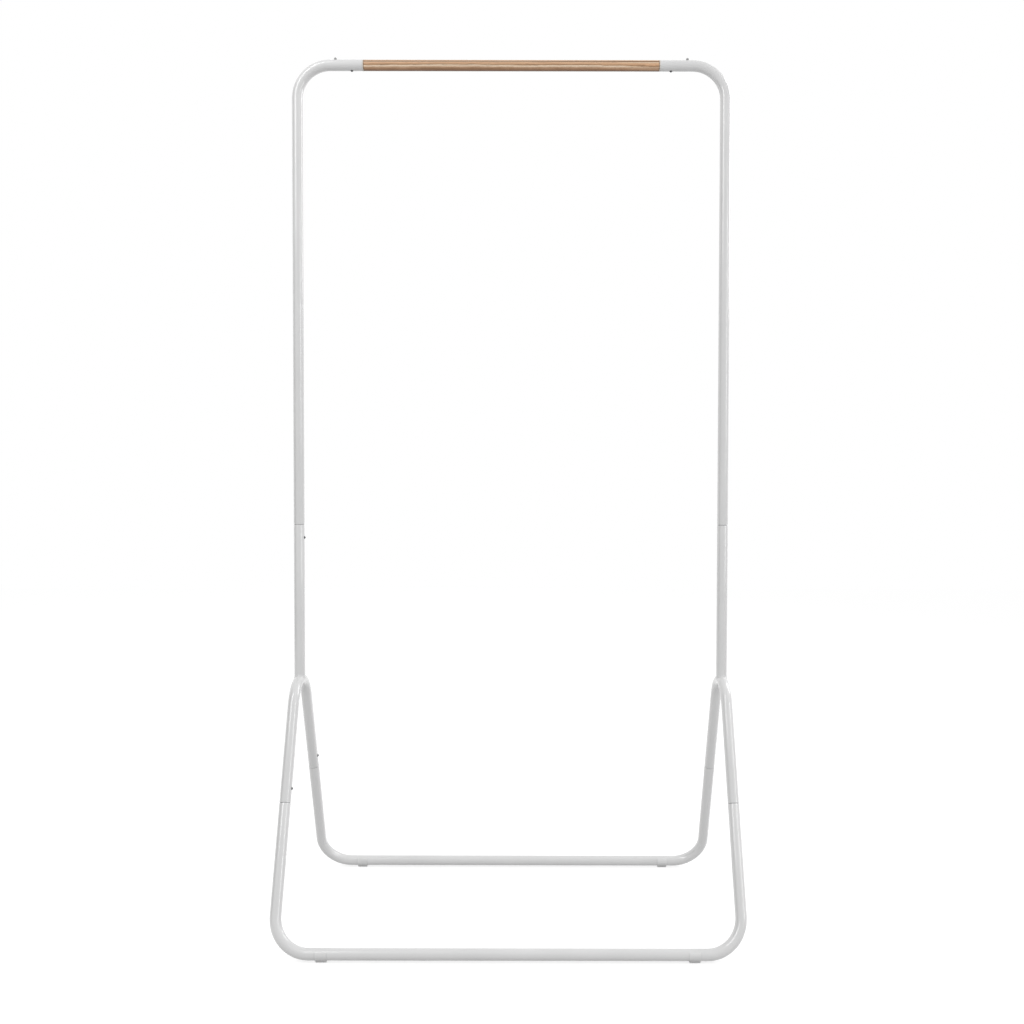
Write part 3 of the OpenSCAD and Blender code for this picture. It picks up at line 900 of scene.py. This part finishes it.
def foot_outside():
    """Half of the clip's outer section, as Y and Z, from its lip down to its sole."""
    outer = TUBE_R + FOOT_PLAY + FOOT_WALL
    lip = math.asin(FOOT_GRIP / outer)
    waist = math.acos(SOLE_HALF / outer)
    half = []
    for k in range(FOOT_STEPS + 1):
        angle = lip + (-waist - lip) * k / FOOT_STEPS
        half.append((outer * math.cos(angle), outer * math.sin(angle)))
    corner_y, corner_z = SOLE_HALF - SOLE_ROUND, SOLE_ROUND - FLOOR_TUBE_Z
    for k in range(SOLE_STEPS):
        angle = -math.pi / 2 * k / (SOLE_STEPS - 1)
        half.append((corner_y + SOLE_ROUND * math.cos(angle),
                     corner_z + SOLE_ROUND * math.sin(angle)))
    return half


def foot_bore():
    """The clip's inner section, as Y and Z, from lip to lip round the floor tube."""
    inner = TUBE_R + FOOT_PLAY
    lip = math.asin(FOOT_GRIP / inner)
    bore = []
    for k in range(2 * FOOT_STEPS + 1):
        angle = math.pi - lip + (math.pi + 2 * lip) * k / (2 * FOOT_STEPS)
        bore.append((inner * math.cos(angle), inner * math.sin(angle)))
    return bore


def foot_clip():
    """A moulded clip on a sole with rounded edges. The floor tube's centre is at 0."""
    half = foot_outside()
    bore = foot_bore()
    turns = [math.pi / 2 * k / SOLE_STEPS for k in range(SOLE_STEPS + 1)]
    stations = [SOLE_ROUND * (1 - math.cos(turn)) for turn in turns]
    places = [-FOOT_LEN / 2 + s for s in stations]
    places += [FOOT_LEN / 2 - s for s in reversed(stations)]
    verts = []
    for x in places:
        inset = max(0.0, SOLE_ROUND - (FOOT_LEN / 2 - abs(x)))
        bottom = SOLE_ROUND - FLOOR_TUBE_Z - math.sqrt(SOLE_ROUND**2 - inset**2)
        ring = [(y, max(z, bottom)) for y, z in half]
        mirrored = [(-y, z) for y, z in reversed(ring)]
        verts += [(x, y, z) for y, z in ring + mirrored + bore]
    count = len(verts) // len(places)
    faces = [tuple(range(count)), tuple(reversed(range(len(verts) - count, len(verts))))]
    for row in range(len(places) - 1):
        for k in range(count):
            a, b = row * count + k, row * count + (k + 1) % count
            faces.append((a, b, b + count, a + count))
    foot = make_object("foot", verts, faces)
    face_outwards(foot)
    add_modifier(foot, "BEVEL", width=FOOT_EDGE, segments=3, limit_method="ANGLE",
                 angle_limit=math.radians(48))
    settle(foot)
    face_outwards(foot)
    shade_smooth(foot, limit=35)
    return foot


def feet(group, finish):
    """Four clips on the floor tubes, made a single mesh."""
    seats = [(Vector((x * FOOT_X, y * BASE_Y, FLOOR_TUBE_Z)), Vector((0, 0, 1)))
             for y in ENDS.values() for x in SIDES.values()]
    piece = place_fittings("foot_clips", group, foot_clip(), seats, 0.0, finish)
    hand_over(piece, "white_plastic", *[f"foot_{end}_{side}" for end in ENDS for side in SIDES])


# Solids that keep their own shape


def dress_solids(finishes):
    """Gives the sleeves, nuts and inserts, which stay as they are, their metals."""
    for name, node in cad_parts.items():
        for words, finish in finishes.items():
            if words in name:
                paint(node, finish)


# Studio

RACK_MIDDLE = Vector((0, 0, 0.8))

# Half the floor's width, its own grey, the glow that the camera sees, and the world's light
FLOOR_HALF = 6.0
FLOOR_GREY = 0.48
FLOOR_GLOW = 0.72
SOFT_LIGHT = 0.56

# The black board's turn in degrees, its distance, half its width, its height and its grey
CARD_TURN = -80
CARD_DISTANCE = 2.6
CARD_HALF = 0.65
CARD_HEIGHT = 3.2
CARD_GREY = 0.02

# Each lamp's name, its turn and rise in degrees, its distance, width and height, and its watts
LAMPS = [
    ("tall box left", -38, 38, 3.3, 0.8, 2.6, 32), ("tall box right", 56, 38, 3.3, 0.8, 2.6, 5),
    ("low box right", 60, 8, 3.3, 0.8, 1.6, 14.5), ("rear box right", 115, 30, 3.2, 1.0, 2.0, 26)]

# The photograph's camera, fitted to the rack's outline. Its angles are in degrees.
CAMERA_PLACE = (0.0358, -1.9486, 0.8183)
CAMERA_DOWN = 1.59
CAMERA_TILT = -0.1
CAMERA_SHIFT = -0.0173
FOCAL_LENGTH = 36.0
SENSOR_WIDTH = 36.0


def around(turn, rise, distance):
    """A point at a distance from the rack's middle, turned from its front towards the right."""
    turn, rise = math.radians(turn), math.radians(rise)
    flat = math.cos(rise)
    way = Vector((math.sin(turn) * flat, -math.cos(turn) * flat, math.sin(rise)))
    return RACK_MIDDLE + distance * way


def background_seen(tree):
    """1 for the camera, in reflections and through glass, 0 for the light that things get."""
    seen = tree.add("ShaderNodeLightPath")
    either = tree.math("MAXIMUM", seen.outputs["Is Camera Ray"], seen.outputs["Is Glossy Ray"])
    return tree.math("MAXIMUM", either, seen.outputs["Is Transmission Ray"])


def studio_floor():
    """A white floor that fades into the background, and keeps a soft shadow under the rack."""
    half = FLOOR_HALF
    corners = [(-half, -half, 0), (half, -half, 0), (half, half, 0), (-half, half, 0)]
    floor = make_object("floor", corners, [(0, 1, 2, 3)])
    material, tree = empty_material("white floor")
    paper = tree.add("ShaderNodeBsdfDiffuse", Color=(*grey(FLOOR_GREY), 1))
    strength = tree.math("MULTIPLY", background_seen(tree), FLOOR_GLOW)
    glow = tree.add("ShaderNodeEmission", Color=(1, 1, 1, 1), Strength=strength)
    both = tree.add("ShaderNodeAddShader")
    tree.put(both, 0, paper)
    tree.put(both, 1, glow)
    tree.add("ShaderNodeOutputMaterial", Surface=both)
    paint(floor, material)


def dark_card():
    """A black board on the left, only seen in reflections. It draws a dark line down each tube."""
    turn = math.radians(CARD_TURN)
    along = CARD_HALF * Vector((math.cos(turn), math.sin(turn), 0))
    low = around(CARD_TURN, 0, CARD_DISTANCE)
    low.z = 0
    top = low + Vector((0, 0, CARD_HEIGHT))
    corners = [low - along, low + along, top + along, top - along]
    card = make_object("dark_card", corners, [(0, 1, 2, 3)])
    material, tree = empty_material("black board")
    board = tree.add("ShaderNodeBsdfDiffuse", Color=(*grey(CARD_GREY), 1))
    tree.add("ShaderNodeOutputMaterial", Surface=board)
    paint(card, material)
    card.visible_camera = False
    card.visible_diffuse = False
    card.visible_shadow = False


def studio_world():
    """Soft even light, in front of a background that is white to the camera and in reflections."""
    world = bpy.data.worlds.new("studio")
    bpy.context.scene.world = world
    world.use_nodes = True
    world.node_tree.nodes.clear()
    tree = Tree(world.node_tree)
    soft = tree.add("ShaderNodeBackground", Color=(1, 1, 1, 1), Strength=SOFT_LIGHT)
    white = tree.add("ShaderNodeBackground", Color=(1, 1, 1, 1), Strength=1.0)
    pick = tree.add("ShaderNodeMixShader")
    tree.put(pick, 0, background_seen(tree))
    tree.put(pick, 1, soft)
    tree.put(pick, 2, white)
    tree.add("ShaderNodeOutputWorld", Surface=pick)


def softbox(name, turn, rise, distance, width, height, power):
    """A rectangular lamp that faces the rack's middle."""
    light = bpy.data.lights.new(name, "AREA")
    light.shape = "RECTANGLE"
    light.size = width
    light.size_y = height
    light.energy = power
    lamp = bpy.data.objects.new(name, light)
    bpy.context.scene.collection.objects.link(lamp)
    place = around(turn, rise, distance)
    facing = (RACK_MIDDLE - place).to_track_quat("-Z", "Y").to_matrix().to_4x4()
    lamp.matrix_world = Matrix.Translation(place) @ facing


def photo_camera():
    """The photograph's viewpoint: about 2 m in front of the rack, halfway up and nearly level."""
    lens = bpy.data.cameras.new("photo camera")
    lens.lens = FOCAL_LENGTH
    lens.sensor_width = SENSOR_WIDTH
    lens.shift_x = CAMERA_SHIFT
    lens.clip_end = 50.0
    camera = bpy.data.objects.new("photo camera", lens)
    bpy.context.scene.collection.objects.link(camera)
    camera.location = CAMERA_PLACE
    look_down, tilt = math.radians(CAMERA_DOWN), math.radians(CAMERA_TILT)
    camera.rotation_euler = (math.pi / 2 - look_down, tilt, 0)
    bpy.context.scene.camera = camera


coat = white_powder_coat()
oak = oiled_oak()
black = worked_metal("black oxide steel", (0.09, 0.09, 0.094), 0.42, (900, 900, 900))
tube_frames(coat)
weld_beads(coat)
fittings = fitting_tree()
screws(fittings, black)
hanging_bar(oak)
bar_rings(fittings, moulded_plastic("pale ring plastic", (0.83, 0.79, 0.74), 0.42))
hanger_stops(fittings, moulded_plastic("grey stop plastic", grey(0.40), 0.45))
feet(fittings, moulded_plastic("white foot plastic", grey(0.85), 0.48))
phosphated = worked_metal("phosphated steel", (0.30, 0.30, 0.31), 0.48, (900, 900, 12))
brass = worked_metal("turned brass", (0.78, 0.57, 0.28), 0.30, (300, 300, 2600))
dress_solids({"sleeve": phosphated, "nut": phosphated, "insert": brass})

studio_floor()
dark_card()
studio_world()
for lamp_facts in LAMPS:
    softbox(*lamp_facts)
photo_camera()
bpy.context.scene.view_settings.view_transform = "Standard"
